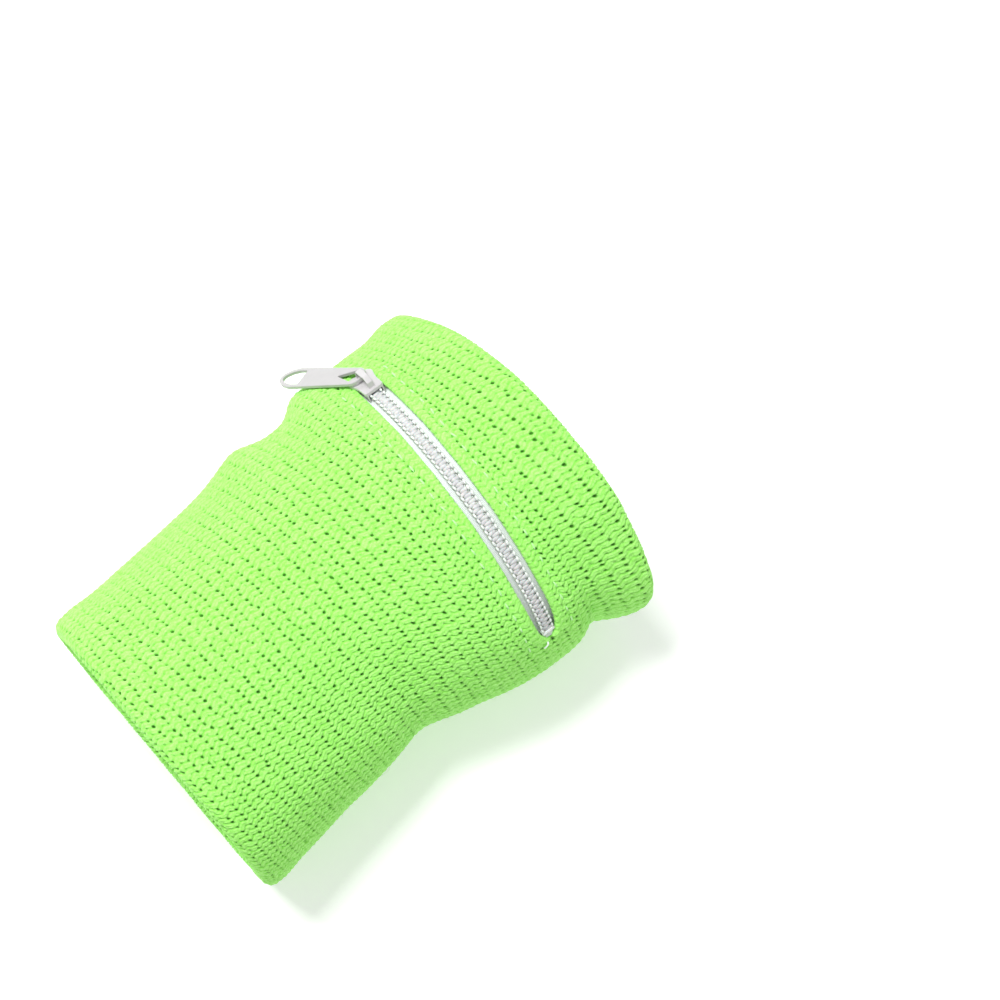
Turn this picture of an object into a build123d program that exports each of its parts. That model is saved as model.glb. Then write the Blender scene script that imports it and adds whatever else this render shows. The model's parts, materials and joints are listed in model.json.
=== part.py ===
from build123d import *
import os
from math import cos, radians, sin, tan

# Sweat wristband with a zip pocket: a doubled tube of elastic knit in its worn shape.
# +X runs along the sleeve towards the hand, +Y towards the side where the closed slider rests,
# +Z up through the zip. The origin lies on the flat underside, half way along. Millimetres.

# ---- the sleeve's form -------------------------------------------------------------------------
sleeve_length = 97.0
arc_radius = 39.0            # crown of the full-size section, where the zip runs
arc_centre_z = 11.08         # height of that crown's centre
arc_half_angle = 62.0        # the crown ends here, and the rounder flanks begin
# stations along the sleeve: x, section scale, sideways shift towards +Y
form_stations = [
    (-48.5, 0.945, -1.7),
    (-36.0, 0.932, -1.1),
    (-22.0, 0.912, 0.2),
    (-12.0, 0.888, 1.6),
    (-4.0, 0.886, 2.4),
    (3.0, 0.920, 2.2),
    (9.5, 0.945, 1.2),
    (14.0, 0.975, 0.4),
    (17.0, 1.000, 0.0),
    (48.5, 1.000, 0.0),
]

# ---- layers, measured inwards from the outer face -------------------------------------------------
sleeve_wall = 1.0
lining_outer_inset = 3.15
lining_wall = 1.35
rim_fold = 1.5               # thickness of the sleeve's turned-in rim, along X
rim_rounding = 1.2
pocket_floor_gap = 0.67      # under the arm the two layers lie almost together
seam_height = 0.5            # the overlock row stands this far into the opening
seam_width = 2.0

# ---- the zip ---------------------------------------------------------------------------------------
zip_x = 28.1                 # where the zip's centre line crosses the top
zip_slant = 2.2              # degrees out of square: its slider end lies nearer the hand
slit_half_width = 2.65
slit_start, slit_end = -55.3, 57.2       # degrees from the top, positive towards +Y
tape_outer_radius = 37.6
tape_thickness = 0.5
tape_start, tape_end = -57.5, 59.0
tape_inner_x, tape_outer_x = 0.75, 11.0
coil_inner_x, coil_outer_x = 0.05, 1.45
coil_height = 1.2
coil_start, coil_end = -52.5, 55.0
coil_part_shift = 0.42       # each half moves out by this much round the slider's diamond
filler_x = (0.65, 1.05)
filler_rise = (0.3, 0.75)    # above the tape
stitch_row_x = (0.72, 1.08)
stitch_row_height = 0.16
stop_length = 1.1            # degrees
seam_offset = 5.3            # seam rows either side of the zip's centre line
seam_thread = (0.45, 0.28)   # width and height of a stitch
seam_stitch_degrees = 2.4
seam_gap_degrees = 2.6
bartack_half_width = 1.6
bartack_height = 0.9
closed_end_bartack = (-55.2, -53.8)      # degrees
slider_end_bartack = (56.0, 57.0)

# ---- the slider, drawn at the top of the arc ---------------------------------------------------------
slider_angle = 49.5          # where the closed slider rests
slider_half_length = 3.7
bottom_plate_radii = (36.1, 36.9)
top_plate_radii = (39.2, 39.95)
flange_low_radius = 37.8
flange_thickness = 0.36
flange_rear_x, flange_front_x = 1.62, 2.02    # inner faces
plate_rear_x, plate_front_x = 2.2, 2.85       # half widths of the plates
diamond_half_width = 0.35
crown_width = 1.3
crown_rear, crown_front = -3.1, 2.3          # outer faces of the crown's feet, along the travel
crown_strip = 0.5
crown_top_radius = 42.3

# ---- the pull tab ---------------------------------------------------------------------------------------
tab_length = 22.8            # from the bar's middle to the tip
tab_thickness = 0.7
tab_near_radius = 2.5
tab_tip_circles = [(4.4, 2.9), (3.1, 2.55), (1.85, 1.85)]   # back from the tip, radius. The first is the full half width
tab_eye_radius, tab_eye_length = 1.76, 6.3
tab_window_length = 6.3      # from the tip back to the window's straight side
tab_rim = 0.85
tab_bar_radius = 40.85       # height of the tab's bar above the arc's centre
tab_bar_along = 0.5          # the bar's place under the crown, along the travel
tab_bar_half = 0.45
tab_yaw = 27.0               # swung from the travel towards the forearm end
tab_lift = -6.5              # above the slider's plane

arc_axis = Axis((0, 0, arc_centre_z), (-1, 0, 0))   # positive turns lead from the top towards +Y


def form_at(x):
    """Section scale and sideways shift at x, straight between the stations."""
    for (x0, scale0, shift0), (x1, scale1, shift1) in zip(form_stations, form_stations[1:]):
        if x <= x1:
            t = (x - x0) / (x1 - x0)
            return scale0 + t * (scale1 - scale0), shift0 + t * (shift1 - shift0)
    return form_stations[-1][1:]


def section(x, inset, floor_z):
    """Closed outline at x: crown arc, two tangent flank arcs and a flat floor at floor_z."""
    scale, shift = form_at(x)
    crown = scale * arc_radius - inset
    centre = Vector(x, shift, scale * arc_centre_z)
    c, s = cos(radians(arc_half_angle)), sin(radians(arc_half_angle))
    flank = (centre.Z + crown * c - floor_z) / (1 + c)

    def at(middle, radius, degrees):
        return middle + Vector(0, radius * sin(radians(degrees)), radius * cos(radians(degrees)))

    edges = [Edge.make_three_point_arc(
        at(centre, crown, -arc_half_angle), at(centre, crown, 0), at(centre, crown, arc_half_angle))]
    feet = []
    for side in (1, -1):
        middle = centre + Vector(0, side * (crown - flank) * s, (crown - flank) * c)
        points = [at(middle, flank, side * a) for a in (arc_half_angle, 0.5 * (arc_half_angle + 180), 180)]
        edges.append(Edge.make_three_point_arc(*(points if side == 1 else points[::-1])))
        feet.append(points[-1])
    edges.insert(2, Edge.make_line(feet[0], feet[1]))
    return Wire(edges)


def tube(inset, floor_z, x_low, x_high, ends=()):
    """Solid that fills the sleeve's form, moved inwards by inset. ends adds (x, extra inset) sections."""
    stations = [(x, 0.0) for x, _, _ in form_stations if x_low < x < x_high and x not in dict(ends)]
    stations += list(ends) if ends else [(x_low, 0.0), (x_high, 0.0)]
    wires = [section(x, inset + extra, floor_z + extra) for x, extra in sorted(stations)]
    return Solid.make_loft(wires, ruled=True)


def arc_block(x_low, x_high, r_low, r_high, start, stop):
    """Block bent about the zip's arc, between two radii and two angles."""
    corners = [(x_low, r_low), (x_high, r_low), (x_high, r_high), (x_low, r_high)]
    face = Face(Wire.make_polygon([(x, 0, arc_centre_z + r) for x, r in corners], close=True))
    return Solid.revolve(face, stop - start, arc_axis).rotate(arc_axis, start)


def curved_plate(outline, radii):
    """Plate of the outline, drawn in X and Y at the top of the arc, between two radii."""
    base = Face(Wire.make_polygon([(x, y, arc_centre_z + radii[0] - 3) for x, y in outline], close=True))
    prism = Solid.extrude(base, Vector(0, 0, 8))
    return prism & arc_block(-6, 6, *radii, -12, 12)


def slanted(shape):
    """Turned about the upright through the zip's middle, by the zip's slant."""
    return shape.rotate(Axis((zip_x, 0, 0), (0, 0, 1)), -zip_slant)


def one_solid(shape):
    """The single solid of a boolean's result."""
    solids = shape.solids()
    assert len(solids) == 1, len(solids)
    return solids[0]


# ---- knit layers -------------------------------------------------------------------------------------------
def make_outer_sleeve():
    """Outer layer with rounded, turned-in rims and the slit for the zip."""
    end = sleeve_length / 2
    rounding = [(0.0, 1.0), (0.25, 0.45), (0.65, 0.12), (1.0, 0.0)]
    ends = [(side * (end - rim_rounding * step), rim_rounding * drop)
            for side in (-1, 1) for step, drop in rounding]
    skin = tube(0.0, 0.0, -end, end, ends)
    cavity = tube(sleeve_wall, sleeve_wall, -end + rim_fold, end - rim_fold)
    bore_inset = lining_outer_inset + lining_wall
    bore = tube(bore_inset, lining_floor() + lining_wall, -end, end)
    slit = arc_block(zip_x - slit_half_width, zip_x + slit_half_width,
                     arc_radius - sleeve_wall - 0.3, arc_radius + 1, slit_start, slit_end)
    return one_solid(skin - cavity - bore - slanted(slit))


def lining_floor():
    """Height of the lining's outer face under the arm."""
    return sleeve_wall + pocket_floor_gap


def make_inner_lining():
    """Inner layer, butted between the sleeve's turned-in rims."""
    end = sleeve_length / 2 - rim_fold
    outer = tube(lining_outer_inset, lining_floor(), -end, end)
    inner = tube(lining_outer_inset + lining_wall, lining_floor() + lining_wall, -end, end)
    return one_solid(outer - inner)


def make_end_seam(side):
    """Overlock row on the inside, over the joint of lining and rim."""
    joint = side * (sleeve_length / 2 - rim_fold)
    low, high = joint - seam_width / 2, joint + seam_width / 2
    inset, floor_z = lining_outer_inset + lining_wall, lining_floor() + lining_wall
    outer = tube(inset, floor_z, low, high)
    inner = tube(inset + seam_height, floor_z + seam_height, low, high)
    return one_solid(outer - inner)


# ---- zip chain -----------------------------------------------------------------------------------------------
def mirrored(low, high, side):
    """X range on the hand side (+1) or the forearm side (-1) of the zip's centre line."""
    a, b = zip_x + side * low, zip_x + side * high
    return min(a, b), max(a, b)


def make_tape(side):
    return arc_block(*mirrored(tape_inner_x, tape_outer_x, side),
                     tape_outer_radius - tape_thickness, tape_outer_radius, tape_start, tape_end)


def along(travel):
    """Angle of a point of the resting slider that lies travel millimetres ahead of its middle."""
    return slider_angle + travel / arc_radius * 57.2958


def parting(side, low, high, r_low, r_high):
    """The end of a coil or thread row that curves out round the resting slider's diamond."""
    start, full = 0.4, 1.8
    tail = (coil_end - slider_angle) / 57.2958 * arc_radius + 1
    shifted = [(low, start - 0.2), (low, start), (low + coil_part_shift, full), (low + coil_part_shift, tail),
               (high + coil_part_shift, tail), (high + coil_part_shift, full), (high, start), (high, start - 0.2)]
    plan = curved_plate([(side * x, y) for x, y in shifted], (r_low, r_high))
    placed = plan.rotate(arc_axis, slider_angle).translate((zip_x, 0, 0))
    return placed & arc_block(zip_x - 4, zip_x + 4, r_low, r_high, along(start), coil_end)


def coil_row(side, low, high, rise_low, rise_high):
    """Bar that follows one coil from the bottom stop to the top stop, rises measured from the tape."""
    r_low, r_high = tape_outer_radius + rise_low, tape_outer_radius + rise_high
    closed = arc_block(*mirrored(low, high, side), r_low, r_high, coil_start, along(0.4))
    return closed + parting(side, low, high, r_low, r_high)


def make_coil(side):
    """One coil: its outer envelope, hollow for the filler cord."""
    return one_solid(coil_row(side, coil_inner_x, coil_outer_x, 0, coil_height) - make_filler_cord(side))


def make_filler_cord(side):
    return one_solid(coil_row(side, *filler_x, *filler_rise))


def make_coil_stitch(side):
    """Row of lockstitch over one coil."""
    return one_solid(coil_row(side, *stitch_row_x, coil_height, coil_height + stitch_row_height))


def make_top_stop(side):
    """Small clip over the end of one coil."""
    low, high = coil_inner_x + coil_part_shift, coil_outer_x + coil_part_shift
    return arc_block(*mirrored(low, high, side), tape_outer_radius, tape_outer_radius + coil_height,
                     coil_end, coil_end + 0.8)


def make_bottom_stop():
    """Clip across both coils at the closed end."""
    return arc_block(*(zip_x - coil_outer_x, zip_x + coil_outer_x), tape_outer_radius,
                     tape_outer_radius + coil_height + 0.1, coil_start - stop_length, coil_start)


# ---- sewing ----------------------------------------------------------------------------------------------------
def make_zip_seam(side):
    """Dashed row of stitches that sews the tape in, on the sleeve's outer face."""
    width, height = seam_thread
    pitch = seam_stitch_degrees + seam_gap_degrees
    count = int((tape_end - tape_start - 4) / pitch)
    x_low, x_high = mirrored(seam_offset - width / 2, seam_offset + width / 2, side)
    stitches = []
    for number in range(count):
        start = tape_start + 2 + number * pitch
        middle = radians(start + seam_stitch_degrees / 2)
        drift = arc_radius * sin(middle) * tan(radians(zip_slant))
        stitches.append(arc_block(x_low + drift, x_high + drift, arc_radius, arc_radius + height,
                                  start, start + seam_stitch_degrees))
    return stitches


def make_bartack(start, stop):
    """Close zigzag of thread across the chain's end, inside the slit, modelled as its bar."""
    return arc_block(zip_x - bartack_half_width, zip_x + bartack_half_width,
                     tape_outer_radius, tape_outer_radius + bartack_height, start, stop)


# ---- slider and pull ---------------------------------------------------------------------------------------------
def make_slider_body():
    """Two plates joined by the diamond, side flanges and the crown over the top plate."""
    back, front = -slider_half_length, slider_half_length
    half = [(plate_rear_x - 0.3, back), (plate_rear_x, back + 0.3), (plate_rear_x, -1.2), (plate_rear_x + 0.22, 0.2),
            (plate_front_x, 1.8), (plate_front_x, 2.5), (plate_front_x - 0.5, front - 0.25), (1.2, front)]
    mouth = [(0.5, front - 0.35)]
    right = half + mouth
    outline = right + [(-x, y) for x, y in reversed(right)]
    top = curved_plate(outline, top_plate_radii)
    bottom = curved_plate(outline, bottom_plate_radii)
    diamond_plan = [(0, 0.7), (diamond_half_width, 1.9), (diamond_half_width, 2.9), (0, front - 0.2),
                    (-diamond_half_width, 2.9), (-diamond_half_width, 1.9)]
    body = top + bottom + curved_plate(diamond_plan, (bottom_plate_radii[0], top_plate_radii[1]))
    for side in (1, -1):
        inner = [(flange_rear_x, back), (flange_rear_x, -0.6), (flange_front_x, 1.3), (flange_front_x, 2.9)]
        outer = [(x + flange_thickness, y) for x, y in reversed(inner)]
        flange = [(side * x, y) for x, y in inner + outer]
        body += curved_plate(flange, (flange_low_radius, top_plate_radii[0] + 0.2))
    body += make_crown()
    return place_slider(one_solid(body))


def make_crown():
    """Arch of flat strip along the travel. The pull's eye hangs in it."""
    low, top = top_plate_radii[1] - 0.4, crown_top_radius
    round_out = 1.1
    outer = [(crown_rear, low), (crown_rear, top - round_out), (crown_rear + round_out, top),
             (crown_front - round_out, top), (crown_front, top - round_out), (crown_front, low)]
    rear, front = crown_rear + crown_strip, crown_front - crown_strip
    under, round_in = top - crown_strip, 0.6
    inner = [(front, low - 1), (front, under - round_in), (front - round_in, under),
             (rear + round_in, under), (rear, under - round_in), (rear, low - 1)]

    def profile(points):
        wire = Wire.make_polygon([(-crown_width / 2, y, arc_centre_z + r) for y, r in points], close=True)
        return Solid.extrude(Face(wire), Vector(crown_width, 0, 0))

    return profile(outer) - profile(inner)


def place_slider(shape):
    """From the top of the arc to where the closed slider rests."""
    return shape.rotate(arc_axis, slider_angle).translate((zip_x, 0, 0))


def stretched_round(circles):
    """Flat outline stretched round a row of circles, each (place along the pull, radius)."""
    return make_hull([Edge.make_circle(radius, Plane((place, 0, 0))) for place, radius in circles])


def beyond(place):
    """Flat half plane past a place along the pull, to square off one side of a hole."""
    return Pos(place + 50, 0) * Rectangle(100, 100)


def make_pull_tab():
    """Flat pull: rounded outline, leaf-shaped eye behind its bar, and a D window at the free end."""
    near = tab_near_radius - tab_bar_half
    outline = stretched_round([(near, tab_near_radius)] + [(tab_length - back, r) for back, r in tab_tip_circles])
    eye = stretched_round([(tab_eye_radius - 0.15, tab_eye_radius), (tab_eye_length, 0.15)]) & beyond(tab_bar_half)
    widest = tab_tip_circles[0][1] - tab_rim
    window_side = tab_length - tab_window_length
    window = stretched_round([(window_side - 2, widest)] + [(tab_length - back, r - tab_rim) for back, r in tab_tip_circles])
    window &= beyond(window_side)
    plate = extrude(outline - eye - window, amount=tab_thickness / 2, both=True).solid()
    # local axes: along the tab = the travel swung by the yaw towards -X, then lifted
    along_axis = Vector(0, 1, 0).rotate(Axis.Z, tab_yaw)
    across_axis = Vector(0, 0, 1).cross(along_axis)
    hinge_point = Vector(0, tab_bar_along, arc_centre_z + tab_bar_radius)
    placed = Plane(origin=hinge_point, x_dir=along_axis, z_dir=(0, 0, 1)).from_local_coords(plate)
    lifted = placed.rotate(Axis(hinge_point, -across_axis), tab_lift)
    return place_slider(lifted)


def make_all():
    """Every node of the wristband, by name."""
    chain = {
        "bottom_stop": make_bottom_stop(),
        "closed_end_bartack": make_bartack(*closed_end_bartack),
        "slider_end_bartack": make_bartack(*slider_end_bartack),
        "slider_body": make_slider_body(),
        "pull_tab": make_pull_tab(),
    }
    nodes = {
        "outer_sleeve": make_outer_sleeve(),
        "inner_lining": make_inner_lining(),
        "hand_end_seam": make_end_seam(1),
        "forearm_end_seam": make_end_seam(-1),
    }
    for side, where in ((1, "hand_side"), (-1, "forearm_side")):
        chain[f"tape_{where}"] = make_tape(side)
        chain[f"coil_{where}"] = make_coil(side)
        chain[f"filler_cord_{where}"] = make_filler_cord(side)
        chain[f"coil_stitch_{where}"] = make_coil_stitch(side)
        chain[f"top_stop_{where}"] = make_top_stop(side)
        nodes[f"zip_seam_{where}"] = Compound(make_zip_seam(side))
    for name, shape in chain.items():
        nodes[name] = slanted(shape)
    return nodes


os.makedirs("parts", exist_ok=True)
for name, shape in make_all().items():
    shape.label = name
    export_step(shape, f"parts/{name}.step")
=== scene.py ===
"""Looks of the zip pocket wristband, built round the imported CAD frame.

Sizes are in millimetres until a mesh is made. Angles along the zip are in degrees from the top of the
band, positive towards the slider's side. side is 1 for the hand end and -1 for the forearm end.
"""
import json
from math import atan2, cos, degrees, pi, radians, sin, tan

import bpy
import numpy as np
from mathutils import Matrix, Vector


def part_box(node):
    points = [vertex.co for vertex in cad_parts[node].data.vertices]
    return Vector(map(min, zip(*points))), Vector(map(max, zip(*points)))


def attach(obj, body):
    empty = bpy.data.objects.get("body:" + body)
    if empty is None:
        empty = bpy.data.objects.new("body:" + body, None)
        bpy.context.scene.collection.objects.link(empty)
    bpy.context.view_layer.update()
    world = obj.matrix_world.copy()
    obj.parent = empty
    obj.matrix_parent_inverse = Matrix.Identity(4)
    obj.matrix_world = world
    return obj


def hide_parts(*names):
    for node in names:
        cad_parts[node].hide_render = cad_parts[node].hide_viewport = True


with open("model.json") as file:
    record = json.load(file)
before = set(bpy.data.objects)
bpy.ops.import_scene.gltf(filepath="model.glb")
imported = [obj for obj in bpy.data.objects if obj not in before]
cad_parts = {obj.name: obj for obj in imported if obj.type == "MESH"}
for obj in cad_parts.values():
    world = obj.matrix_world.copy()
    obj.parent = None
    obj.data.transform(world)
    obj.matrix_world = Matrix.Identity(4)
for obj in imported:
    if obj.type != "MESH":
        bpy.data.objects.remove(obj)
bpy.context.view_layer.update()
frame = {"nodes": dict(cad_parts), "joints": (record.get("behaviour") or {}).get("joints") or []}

random = np.random.default_rng(7)
MM = 0.001

# ---- the sleeve's form, as the CAD solid has it --------------------------------------------------
travel_joint = next(j for j in frame["joints"] if j["name"] == "slider_travel")
zip_x, _, arc_centre_z = (1000 * v for v in travel_joint["pos_m"])
zip_slant = -atan2(travel_joint["axis"][1], travel_joint["axis"][0])
sleeve_end = 1000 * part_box("outer_sleeve")[1].x
side_names = {1: "hand", -1: "forearm"}
arc_radius = 39.0
arc_half_angle = radians(62)
form_stations = [            # x, scale of the section, sideways shift
    (-48.5, 0.945, -1.7), (-36.0, 0.932, -1.1), (-22.0, 0.912, 0.2), (-12.0, 0.888, 1.6),
    (-4.0, 0.886, 2.4), (3.0, 0.920, 2.2), (9.5, 0.945, 1.2), (14.0, 0.975, 0.4),
    (17.0, 1.000, 0.0), (48.5, 1.000, 0.0)]
form_reach, form_step = 56, 0.25       # the form's curves are sampled from -reach to reach
form_softness = 2.0
layer_inset = 4.5            # the lining's inner face lies this far inside the sleeve's outer face
lining_outer_inset = 3.25
wall = 1.3                   # thickness of the outer layer
rim_reach = 2.0              # how far the rolled rim bulges beyond the flat of the sleeve
rim_tuck = 0.35              # the turned-in cloth leans outward by this much per millimetre

# ---- how the worn cloth departs from that form ---------------------------------------------------
hand_rim_bow = 3.6           # the hand end bows forward over the top by this much
hand_rim_bow_z = (14, 36)    # height at which the bow starts, and over which it grows
hand_rim_lean = 1.57         # the hand end lies back by this much at the slider's side
hand_rim_lean_height = 30
forearm_rim_draw = 1.2       # the forearm end is drawn in
forearm_rim_lean = 0.6       # and more so on the side away from the slider
rim_bend = (36.0, 12)        # distance from the middle where the ends start to bend, and over which
half_width = 37              # of the band, at the slider's side
rim_puff, rim_puff_x, rim_puff_spread = 0.45, 43.5, 4.0
lump_count, lump_height = 9, 0.06
flank_swell = {              # x, how far the cloth's flank stands out there
    1: [(-48.5, -1.7), (-36, -1.1), (-24, -0.6), (-8, 0.0), (2, 1.4), (8, -1.0), (14, -1.3),
        (18, 2.0), (26, 1.8), (33, 2.0), (38, 1.8), (42, 2.2), (48.5, 1.9)],
    -1: [(-48.5, -0.5), (-24, -0.4), (-18, 0.5), (-12, 1.2), (-7, 0.8), (-3, 0.1), (5, 0.9),
         (12, 0.2), (17, -0.4), (24, 0.6), (31, 1.0), (35, 0.6), (37.5, -1.7), (40.5, 0.7),
         (45.5, 3.4), (48.5, 3.6)]}      # key 1: the slider's flank, -1: the other
flank_places = {1: (0.53, 0.12), -1: (-0.5, 0.17)}    # middle and spread, as shares of half the way round
flank_softness = 1.3
swell_end, swell_fade = 0.86, 0.12     # the cloth doesn't swell beyond here, where the band rests

# ---- knit ----------------------------------------------------------------------------------------
wales = 126                  # stitches round the band
course = 1.38                # length of a stitch along the sleeve
spiral = 16 / wales          # courses gained by one turn of the knitting, spread over the wales
forearm_courses, hand_courses, courses_per_band = 60, 19, 20
columns_per_wale, rows_per_course = 8, 5
lip_rows = 6                 # rows of the slit's turned lip
lining_courses = 66
lining_columns_per_wale, lining_rows_per_course = 4, 3
lining_stretch = 1.012       # the lining's courses are drawn out by this much
lining_face_inset = 4.4
random_courses = 256         # the random tables repeat after this many courses
ridge_height, chevron_height = 0.24, 0.07
ridge_roundness, ridge_level = 0.8, 0.55
leg_share = 0.60             # how clearly each rib shows its two legs of yarn
strand_bend = 0.16           # how far the strands swing to either side, in wales
strand_wobble = 0.20         # how far they sway at random
hole_depth = 0.70
hole_wales, hole_courses = 0.24, 0.23  # size of an eyelet
hole_slant = 0.35
odd_hole = 0.48              # eyelets of the odd courses are this much weaker
table_gap = 0.01             # the lowest crests end this far above the table
spread_reach = 17.0          # how far from the slit the courses are pushed aside
spread_softness = 0.55       # their curves soften by this much per millimetre
rib_drift = 4.2              # wales by which the ribs drift round the far side
rib_drift_x = (-14.0, 50.0)  # from the waist to the hand end
rib_drift_places = (0.50, -0.24, -0.45, -0.95)     # start, full, fading, end: shares of half the way round
lip_radius = 0.65
slit_outer_half = 3.1        # half width between the lips' crests
slit_angles = (-55.9, 57.6)
slit_squareness, slit_end_roundness = 12, 0.4

# ---- zip, as radii about the arc's centre --------------------------------------------------------
tape_radius = 37.6
tape_thickness = 0.5
tape_angles = (-57.5, 59.0)
tape_x = (0.75, 3.75, 11.0)  # inner edge, end of the stretch that the slit shows, outer edge
tape_rib, tape_float = 0.4, 0.62       # width of a woven rib and length of its floats
coil_angles = (-52.5, 55.0)
coil_low, coil_high = 37.6, 38.8
wire = 0.25                  # half height of the coil's pressed monofilament
wire_flatness = 1.65
wire_points = 26             # points of its path to each turn
coil_x = (-0.52, 1.18)       # the heads' reach past the centre line, and the outer bends
coil_pitch = 1.32
coil_parting = 0.42
cord_arc, cord_twist = 38, 1.6         # the filler cord's radius, and the length of one turn of its plies
cord_x, ply_radius, ply_offset = 0.85, 0.11, 0.1
stitch_x = 1.16              # rows of thread over the coils
slider_angle = 49.5
seam_offset = 5.3
seam_angles = (-55.5, 52.1, 5.0)       # first stitch, last, step
seam_stitch = 2.4
seam_groove = 0.28           # how deep the stitches draw the cloth in
seam_groove_spread = 0.6

# ---- overlock seams inside the rims --------------------------------------------------------------
overlock_stitches = 96
overlock_setback = 2.5       # from the rim
overlock_half_width = 0.95
overlock_inset = 4.78

# ---- loose fibres --------------------------------------------------------------------------------
fibre_count = 420
fibre_radius = 0.028
fibre_free_x, fibre_free_t = 6.5, 0.48 # none beside the zip, where the slider passes
fibre_clearance = 0.1        # above the table

# ---- camera, from above the forearm end ----------------------------------------------------------
camera_place = (-55.0, -11.24, 450.0)
camera_target = (34.28, -4.81, 42.0)
camera_up = (0.6122, 0.777, 0.1462)
camera_lens = 76.75


# ---- meshes --------------------------------------------------------------------------------------
def grid_faces(rows, columns, wrap, first=0):
    """Quads of a grid of vertices. wrap joins the last column to the first."""
    index = first + np.arange(rows * columns).reshape(rows, columns)
    if wrap:
        index = np.concatenate([index, index[:, :1]], axis=1)
    corners = [index[:-1, :-1], index[:-1, 1:], index[1:, 1:], index[1:, :-1]]
    return np.stack(corners, axis=-1).reshape(-1, 4)


def make_piece(name, points, faces, body, material, uv=None, normals=None, values=None):
    """A mesh object from arrays: points in millimetres, faces as index arrays.

    uv, normals and each of values hold one entry to a point.
    """
    mesh = bpy.data.meshes.new(name)
    loops = np.concatenate([np.asarray(f).ravel() for f in faces]).astype(np.int32)
    sizes = np.concatenate([np.full(len(f), np.asarray(f).shape[1]) for f in faces])
    starts = np.concatenate([[0], np.cumsum(sizes)[:-1]]).astype(np.int32)
    mesh.vertices.add(len(points))
    mesh.vertices.foreach_set("co", (points * MM).astype(np.float32).ravel())
    mesh.loops.add(len(loops))
    mesh.loops.foreach_set("vertex_index", loops)
    mesh.polygons.add(len(sizes))
    mesh.polygons.foreach_set("loop_start", starts)
    mesh.polygons.foreach_set("use_smooth", np.ones(len(sizes), bool))
    if uv is not None:
        layer = mesh.uv_layers.new(name="OFBake")
        layer.data.foreach_set("uv", uv[loops].astype(np.float32).ravel())
    for key, value in (values or {}).items():
        attribute = mesh.attributes.new(key, "FLOAT", "POINT")
        attribute.data.foreach_set("value", value.astype(np.float32).ravel())
    mesh.update(calc_edges=True)
    if normals is not None:
        mesh.normals_split_custom_set_from_vertices(normals.tolist())
    mesh.materials.append(material)
    piece = bpy.data.objects.new(name, mesh)
    bpy.context.scene.collection.objects.link(piece)
    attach(piece, body)
    return piece


class Parts:
    """Gathers small shapes into the arrays of one piece."""

    def __init__(self):
        self.points, self.faces, self.count = [], [], 0

    def add(self, points, faces):
        self.points.append(points)
        self.faces += [np.asarray(f) + self.count for f in faces]
        self.count += len(points)

    def piece(self, name, body, material):
        return make_piece(name, np.concatenate(self.points), self.faces, body, material)


def unit(v):
    return v / np.maximum(np.linalg.norm(v, axis=-1, keepdims=True), 1e-12)


def thread(path, radius, sides=8, up=None, flatten=1.0):
    """Round or flattened tube along a path of points, closed at both ends. up turns its section."""
    path = np.asarray(path, float)
    tangent = unit(np.gradient(path, axis=0))
    up = np.broadcast_to(np.asarray([0, 0, 1.0] if up is None else up, float), path.shape)
    across = unit(np.cross(tangent, up))
    top = np.cross(across, tangent)
    angle = np.linspace(0, 2 * pi, sides, endpoint=False)
    radius = np.broadcast_to(np.asarray(radius, float), len(path))[:, None, None]
    ring = (across[:, None] * np.cos(angle)[None, :, None]
            + top[:, None] * np.sin(angle)[None, :, None] * flatten) * radius
    points = (path[:, None] + ring).reshape(-1, 3)
    last = (len(path) - 1) * sides
    faces = [grid_faces(len(path), sides, True),
             np.arange(sides)[None, ::-1], last + np.arange(sides)[None]]
    return points, faces


def stitch(start, stop, up, width, height, sink=0.0, steps=9):
    """One visible stitch: a thread that rises from the cloth and dips back into it."""
    t = np.linspace(0, 1, steps)[:, None]
    arch = np.sin(pi * t)
    path = start + (stop - start) * t + up * (height * (arch - 1) * 0.5 - sink)
    radius = 0.5 * width * (0.35 + 0.65 * np.sqrt(arch[:, 0]))
    return thread(path, radius, 8, up, height / width)


def smoothstep(v):
    v = np.clip(v, 0, 1)
    return v * v * (3 - 2 * v)


def blurred(values, sigma, step, wrap):
    """Gaussian blur of samples that lie step apart."""
    reach = int(3 * sigma / step) + 1
    if sigma < 0.3 * step:
        return values
    kernel = np.exp(-0.5 * (np.arange(-reach, reach + 1) * step / sigma) ** 2)
    padded = np.pad(values, reach, mode="wrap" if wrap else "edge")
    return np.convolve(padded, kernel / kernel.sum(), mode="valid")


# ---- the sleeve's surface ------------------------------------------------------------------------
form_x = np.arange(-form_reach, form_reach + 0.01, form_step)
station_x, station_scale, station_shift = np.array(form_stations).T
form_scale = blurred(np.interp(form_x, station_x, station_scale), form_softness, form_step, False)
form_shift = blurred(np.interp(form_x, station_x, station_shift), form_softness, form_step, False)
flank_curves = {flank: blurred(np.interp(form_x, *np.array(places).T), flank_softness, form_step, False)
                for flank, places in flank_swell.items()}
lump_waves = [(random.uniform(0.05, 0.16), random.integers(2, 9), random.uniform(0, 2 * pi))
              for _ in range(lump_count)]


def swell(x, t):
    """How far the worn cloth stands out from the plain form: soft lumps, puffy rims, folds on the flanks."""
    lumps = sum(np.sin(f * x + n * pi * t + phase) for f, n, phase in lump_waves) * lump_height
    rims = rim_puff * np.exp(-((np.abs(x) - rim_puff_x) / rim_puff_spread) ** 2)
    flanks = sum(np.interp(x, form_x, flank_curves[flank]) * np.exp(-((t - middle) / spread) ** 2)
                 for flank, (middle, spread) in flank_places.items())
    off_table = smoothstep((swell_end - np.abs(t)) / swell_fade)
    return (lumps + rims + flanks) * off_table


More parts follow.
